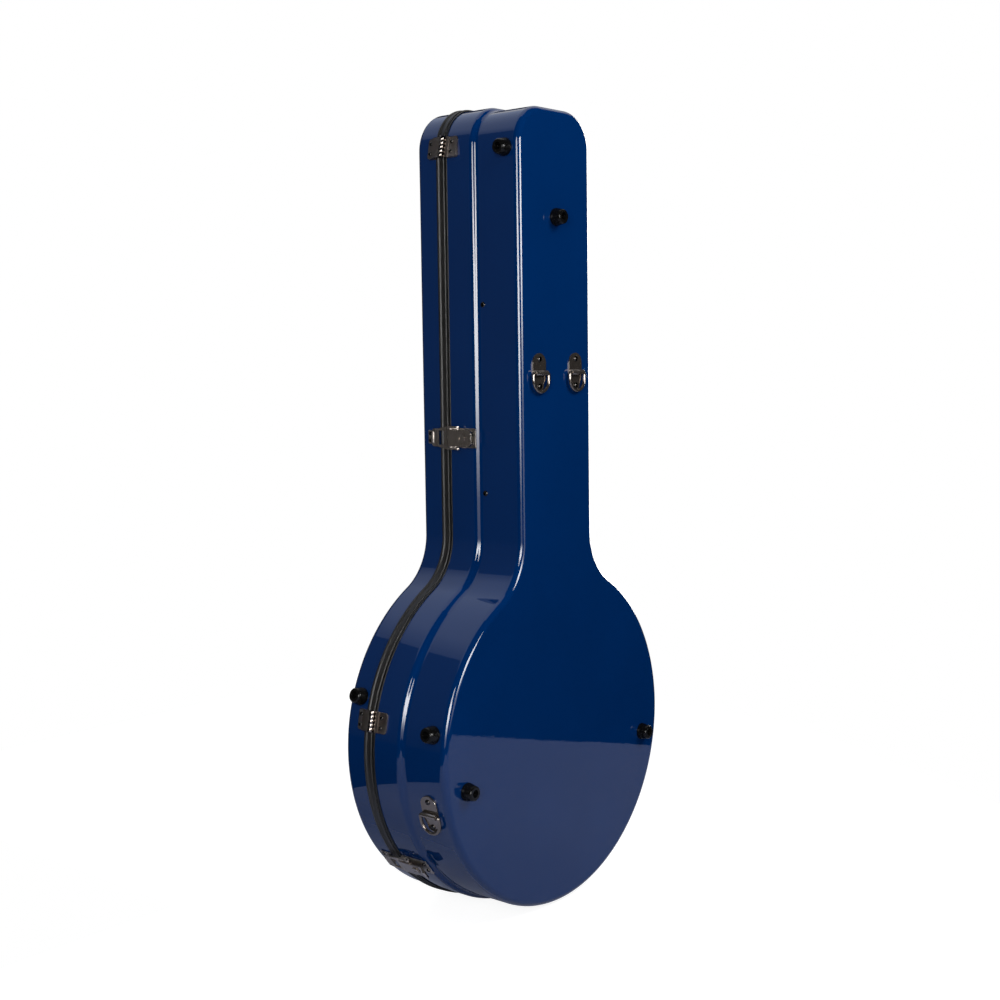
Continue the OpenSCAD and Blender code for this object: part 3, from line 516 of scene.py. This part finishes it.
def screw_template(radius, height):
    bm = bmesh.new()
    rings = []
    steps = 9
    for i in range(steps):
        t = i / (steps - 1) * math.pi / 2
        r, z = radius * math.cos(t), height * (0.22 + 0.78 * math.sin(t))
        if i == steps - 1:
            r = radius * 0.02
        rings.append([bm.verts.new((r * math.cos(a), r * math.sin(a), z))
                      for a in [2 * math.pi * k / SIDES for k in range(SIDES)]])
    base = [bm.verts.new((v.co.x, v.co.y, 0)) for v in rings[0]]
    rings.insert(0, base)
    for a, b in zip(rings, rings[1:]):
        join_rings(bm, a, b)
    bm.faces.new(list(reversed(base)))
    bm.faces.new(rings[-1])
    head = finish_mesh(bm, "head", SCREW, 40.0)
    cut = bmesh.new()
    w, l, d = radius * CROSS_WIDTH, radius * CROSS_REACH, height * CROSS_DEPTH
    for turn in (0, 1):
        box = bmesh.ops.create_cube(cut, size=1.0)["verts"]
        for v in box:
            taper = CROSS_TAPER if v.co.z < 0 else 1.0
            x, y = v.co.x * 2 * l * taper, v.co.y * 2 * w
            z = height * 1.2 if v.co.z > 0 else height - d
            v.co = Vector((y, x, z)) if turn else Vector((x, y, z))
    cut_me = bpy.data.meshes.new("cross")
    cut.to_mesh(cut_me)
    cut.free()
    cross = new_object("cross", cut_me)
    mod = head.modifiers.new("recess", "BOOLEAN")
    mod.operation = "DIFFERENCE"
    mod.solver = "EXACT"
    mod.use_self = True
    mod.object = cross
    dg = bpy.context.evaluated_depsgraph_get()
    me = bpy.data.meshes.new_from_object(head.evaluated_get(dg))
    smooth_faces(me, 40)
    bpy.data.objects.remove(head)
    bpy.data.objects.remove(cross)
    return me


def islands(me):
    """Each separate screw of a node: the middle of its foot, its direction, radius and height."""
    bm = bmesh.new()
    bm.from_mesh(me)
    bmesh.ops.remove_doubles(bm, verts=bm.verts, dist=MERGE)
    seen, out = set(), []
    for v in bm.verts:
        if v in seen:
            continue
        stack, group = [v], []
        seen.add(v)
        while stack:
            w = stack.pop()
            group.append(w)
            for e in w.link_edges:
                o = e.other_vert(w)
                if o not in seen:
                    seen.add(o)
                    stack.append(o)
        faces = {f for w in group for f in w.link_faces}
        flat = max(faces, key=lambda f: f.calc_area()).normal.copy()
        same = [f for f in faces if f.normal.dot(flat) > 0.9999]
        pts = {w for f in same for w in f.verts}
        foot = sum((w.co for w in pts), Vector()) / len(pts)
        up = -flat
        radius = max((w.co - foot).length for w in pts)
        height = max((w.co - foot).dot(up) for w in group)
        out.append((foot, up, radius, height))
    bm.free()
    return out


SCREW_MESH = {}


def dress_screws(name, body):
    for k, (foot, up, radius, height) in enumerate(islands(NODES[name].data)):
        key = round(radius * 2000)
        if key not in SCREW_MESH:
            SCREW_MESH[key] = screw_template(radius, height * DOME)
            SCREW_MESH[key].materials.clear()
            SCREW_MESH[key].materials.append(SCREW)
        ob = new_object(f"{name}_{k}", SCREW_MESH[key])
        spin = Matrix.Rotation(0.7 + 1.9 * k, 4, "Z")
        ob.matrix_world = Matrix.Translation(foot) @ up.to_track_quat("Z", "Y").to_matrix().to_4x4() @ spin
        put(ob, body, [name])


dress_screws("small_screws", "shell")
dress_screws("large_screws", "shell")
dress_screws("lid_screws", "lid")
dress_screws("lid_foot_screw", "lid")


# Padding: foam under plush, rolled at the top, with a seam where wall meets bed
PUCKER, PUCKER_SCALE = 0.0005, 26.0
PAD_GAP = WALL + 0.0003


def pad_mesh(name, outside, inner, bed, body, replaced):
    bm = bmesh.new()
    path = list(reversed(outside)) + inner + bed
    rings = [add_ring(bm, *p) for p in path]
    for a, b in zip(rings, rings[1:]):
        join_rings(bm, a, b)
    fill_face(bm, rings[0])
    fill_face(bm, rings[-1])
    ob = finish_mesh(bm, name, PLUSH, 60.0, PUCKER, PUCKER_SCALE)
    put(ob, body, [replaced])


def shell_pad():
    gap = PAD_GAP
    rim = PARTING - 0.0071
    roll = (SIDE_PAD - gap) / 2
    outside = [(gap, rim - roll), (gap, RIDGE + 0.004), (gap + STEP, RIDGE - 0.0055), (gap + STEP, EDGE + 0.001),
               (STEP + EDGE, gap), (FLANGE, gap)]
    inner = arc(gap + roll, rim - roll, roll, 180, 0, 14)[1:]
    inner += [(SIDE_PAD + 0.0010 * math.sin(math.pi * t / 8), rim - roll - (rim - roll - BED - 0.003) * t / 8)
              for t in range(1, 8)]
    bed = [(SIDE_PAD, BED + 0.0022), (SIDE_PAD - 0.0008, BED - 0.0012), (SIDE_PAD + 0.0016, BED - 0.0014),
           (SIDE_PAD + 0.0032, BED - 0.0002), (SIDE_PAD + 0.0070, BED), (FLANGE, BED)]
    return outside, inner, bed


def lid_pad():
    gap = PAD_GAP
    foot = PARTING + 0.012
    face = DEPTH - gap
    roll = (LID_SIDE_PAD - gap) / 2
    outside = [(gap, foot + roll), (gap, DEPTH - EDGE), (EDGE + 0.0003, face), (FLANGE, face)]
    inner = arc(gap + roll, foot + roll, roll, 180, 360, 12)[1:]
    deep = face - LID_PAD
    inner += [(LID_SIDE_PAD + 0.0006, (foot + roll + deep) / 2)]
    bed = [(LID_SIDE_PAD, deep - 0.0024), (LID_SIDE_PAD - 0.0006, deep + 0.0010),
           (LID_SIDE_PAD + 0.0016, deep + 0.0012), (LID_SIDE_PAD + 0.0032, deep), (LID_SIDE_PAD + 0.0070, deep),
           (FLANGE, deep)]
    return outside, inner, bed


pad_mesh("shell_plush", *shell_pad(), "shell", "shell_lining")
pad_mesh("lid_plush", *lid_pad(), "lid", "lid_lining")


VOXEL = 0.0038
PUFF = 0.0015
INSIDE = 0.0001
CLOTH_FRAMES = 15


def rest_pad():
    """The neck rest: a block of foam under plush, puffed by a short cloth simulation."""
    src = NODES["neck_rest"].data
    ob = new_object("neck_rest_plush", src.copy())
    mod = ob.modifiers.new("remesh", "REMESH")
    mod.mode = "VOXEL"
    mod.voxel_size = VOXEL
    dg = bpy.context.evaluated_depsgraph_get()
    me = bpy.data.meshes.new_from_object(ob.evaluated_get(dg))
    ob.modifiers.clear()
    ob.data = me
    start = [v.co.copy() for v in me.vertices]
    cloth = ob.modifiers.new("cloth", "CLOTH")
    cloth.settings.use_pressure = True
    cloth.settings.uniform_pressure_force = 3.0
    cloth.settings.effector_weights.gravity = 0
    cloth.settings.quality = 5
    scene = bpy.context.scene
    for f in range(1, CLOTH_FRAMES + 1):
        scene.frame_set(f)
    dg = bpy.context.evaluated_depsgraph_get()
    new = bpy.data.meshes.new_from_object(ob.evaluated_get(dg))
    scene.frame_set(1)
    ob.modifiers.clear()
    lo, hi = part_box("neck_rest")
    for v, p in zip(new.vertices, start):
        d = v.co - p
        if d.length > PUFF:
            d.length = PUFF
        q = p + d
        v.co = [min(max(q[i], lo[i] + INSIDE), hi[i] - INSIDE) for i in range(3)]
    ob.data = new
    smooth = ob.modifiers.new("smooth", "SMOOTH")
    smooth.factor = 0.5
    smooth.iterations = 4
    for p in ob.data.polygons:
        p.use_smooth = True
    ob.data.materials.clear()
    ob.data.materials.append(PLUSH)
    put(ob, "shell", ["neck_rest"])


rest_pad()


# Camera: its place, its axes and its focal length over the width of the picture, fitted to the photo
CAMERA_PLACE = (-1.3554, -1.0733, 0.0191)
FOCAL_RATIO = 1.45714
SENSOR = 36.0
right = Vector((0.6506, -0.7593, -0.0131))
up = Vector((0.0826, 0.0537, 0.9951))
back = Vector((-0.7549, -0.6486, 0.0977))
cam = bpy.data.cameras.new("cam")
cam.sensor_width = SENSOR
cam.lens = SENSOR * FOCAL_RATIO
cam_ob = new_object("cam", cam)
cam_ob.matrix_world = Matrix.Translation(CAMERA_PLACE) @ Matrix((right, up, back)).transposed().to_4x4()
bpy.context.scene.camera = cam_ob


# Studio: soft lamps for the light on the case; the lacquer and the metal show bright cards instead
def softbox(name, azimuth, distance, height, target, width, tall, radiance):
    a = math.radians(azimuth)
    li = bpy.data.lights.new(name, "AREA")
    li.shape = "RECTANGLE"
    li.size, li.size_y = width, tall
    li.energy = radiance * math.pi * width * tall
    ob = new_object(name, li)
    ob.location = (distance * math.cos(a), distance * math.sin(a), height)
    d = Vector(target) - ob.location
    ob.rotation_euler = d.to_track_quat("-Z", "Y").to_euler()
    ob.visible_glossy = False


softbox("strip_left", 210, 2.4, 0.42, (0, 0, 0.08), 0.62, 1.15, 16.2)
softbox("strip_right", 287, 1.55, 1.15, (0, 0, 0.40), 0.55, 0.90, 19.6)
softbox("upper_fill", 250, 1.9, 1.55, (0, 0, 0.1), 1.2, 0.8, 2.6)
softbox("back_fill", 70, 2.4, 1.3, (0, 0.1, -0.1), 1.4, 1.0, 2.2)

world = bpy.data.worlds.new("studio")
bpy.context.scene.world = world
nt = empty_tree(world)
wout = nt.nodes.new("ShaderNodeOutputWorld")
room = node(nt, "ShaderNodeBackground", Color=(0.30, 0.31, 0.33, 1), Strength=0.8)
white = node(nt, "ShaderNodeBackground", Color=(1, 1, 1, 1), Strength=1.0)


def seen_directly(nt):
    """1 for what the camera, a mirror or glass sees, 0 for the light that falls on things."""
    ray = nt.nodes.new("ShaderNodeLightPath").outputs
    seen = calc(nt, "MAXIMUM", ray["Is Camera Ray"], ray["Is Glossy Ray"])
    return calc(nt, "MAXIMUM", seen, ray["Is Transmission Ray"])


nt.links.new(blend_shaders(nt, seen_directly(nt), room.outputs[0], white.outputs[0]), wout.inputs[0])


def stage_piece(name, bm, mat):
    me = bpy.data.meshes.new(name)
    bm.to_mesh(me)
    bm.free()
    me.materials.append(mat)
    ob = new_object(name, me)
    return ob


# Pale floor just under the bowl: white with the shadow for the camera, grey in the gloss, and plain for the light
# that it gives back to the case
FLOOR_OUTLINE = ((0.285, -1.10), (0.948, 0.20), (0.948, 1.2), (-0.3, 1.2), (-0.3, 0.37), (-1.2, 0.37), (-1.2, -1.4))
m = bpy.data.materials.new("pale_floor")
nt = empty_tree(m)
o = nt.nodes.new("ShaderNodeOutputMaterial")
plain = node(nt, "ShaderNodeBsdfDiffuse", Color=(0.34, 0.34, 0.34, 1))
pale = node(nt, "ShaderNodeBsdfDiffuse", Color=(0.30, 0.30, 0.30, 1))
glow = node(nt, "ShaderNodeEmission", Color=(1, 1, 1, 1), Strength=0.90)
add = nt.nodes.new("ShaderNodeAddShader")
nt.links.new(pale.outputs[0], add.inputs[0])
nt.links.new(glow.outputs[0], add.inputs[1])
ray = nt.nodes.new("ShaderNodeLightPath").outputs
mirrored = calc(nt, "MAXIMUM", ray["Is Glossy Ray"], ray["Is Transmission Ray"])
grey = node(nt, "ShaderNodeBsdfDiffuse", Color=(0.53, 0.57, 0.74, 1))
unseen = blend_shaders(nt, mirrored, plain.outputs[0], grey.outputs[0])
nt.links.new(blend_shaders(nt, ray["Is Camera Ray"], unseen, add.outputs[0]), o.inputs[0])
bm = bmesh.new()
bm.faces.new([bm.verts.new(p + (FLOOR,)) for p in FLOOR_OUTLINE])
stage_piece("floor", bm, m)


# Dark flags and bright cards round the case, seen only in the gloss
def glow_material(name, stops, tint):
    """Light with a strength for each height, blended in between."""
    m = bpy.data.materials.new(name)
    nt = empty_tree(m)
    o = nt.nodes.new("ShaderNodeOutputMaterial")
    e = node(nt, "ShaderNodeEmission", Color=tint + (1,), Strength=stops[0][1])
    if len(stops) > 1:
        low, high, most = stops[0][0], stops[-1][0], max(v for z, v in stops)
        split = nt.nodes.new("ShaderNodeSeparateXYZ")
        nt.links.new(coords(nt), split.inputs[0])
        rise = between(nt, split.outputs[2], low, high, 0.0, 1.0)
        shade = ramp(nt, rise, [((z - low) / (high - low), (v / most, v / most, v / most, 1)) for z, v in stops])
        nt.links.new(calc(nt, "MULTIPLY", shade, most), e.inputs["Strength"])
    nt.links.new(e.outputs[0], o.inputs[0])
    return m


def screen(name, radius, levels, stops, tint=(1.0, 1.0, 1.0)):
    """A curved screen; each level has a height and the azimuths where it starts and ends."""
    n = 24
    bm = bmesh.new()
    rows = []
    for z, start, end in levels:
        turns = [math.radians(start + (end - start) * i / n) for i in range(n + 1)]
        rows.append([bm.verts.new((radius * math.cos(a), radius * math.sin(a), z)) for a in turns])
    for a, b in zip(rows, rows[1:]):
        for i in range(n):
            bm.faces.new((a[i], a[i + 1], b[i + 1], b[i]))
    ob = stage_piece(name, bm, glow_material(name, stops, tint))
    ob.visible_camera = False
    ob.visible_diffuse = False
    ob.visible_shadow = False
    ob.visible_transmission = False


# Radius of the flags and of the cards, the lowest row, and the height where the flags end and the sky begins
FLAG, CARD = 3.6, 2.4
LOWEST = -3.5
SKY = 2.42
screen("hinge_side_low", FLAG, [(LOWEST, 92, 152), (-0.8, 92, 152)], [(0, 0.008)])
screen("hinge_side_flag", FLAG, [(-0.8, 92, 152), (SKY, 92, 152)], [(-0.8, 0.045), (0.0, 0.085), (SKY, 0.105)])
screen("hinge_side_sky", FLAG, [(SKY, 55, 152), (7.0, 55, 152)], [(SKY, 0.45), (3.2, 0.82), (7.0, 0.86)],
       (0.9, 1.0, 1.24))
screen("front_flag", FLAG, [(LOWEST, 152, 350), (16.0, 152, 350)], [(0, 0.0)])
screen("far_flag", FLAG, [(LOWEST, -10, 92), (SKY, -10, 92)], [(0, 0.05)])
screen("left_card", CARD, [(-0.55, 208, 230), (-0.13, 205, 230), (0.25, 201, 227), (0.45, 200, 222),
                          (0.60, 200, 220), (0.95, 206, 216)],
       [(-0.55, 1.0), (-0.38, 2.0), (-0.25, 6.0), (-0.10, 15.0), (0.05, 21.0), (0.40, 21.0), (0.60, 13.0),
        (0.95, 12.0)])
screen("right_card", CARD, [(-0.55, 255, 279), (0.8, 255, 279)],
       [(-0.55, 1.6), (-0.25, 2.2), (-0.10, 3.0), (0.02, 8.0), (0.17, 17.0), (0.35, 24.0), (0.80, 22.0)])
screen("far_card", CARD, [(-0.5, 18, 34), (0.9, 18, 34)], [(0, 12.0)])

bpy.context.scene.view_settings.view_transform = "Standard"
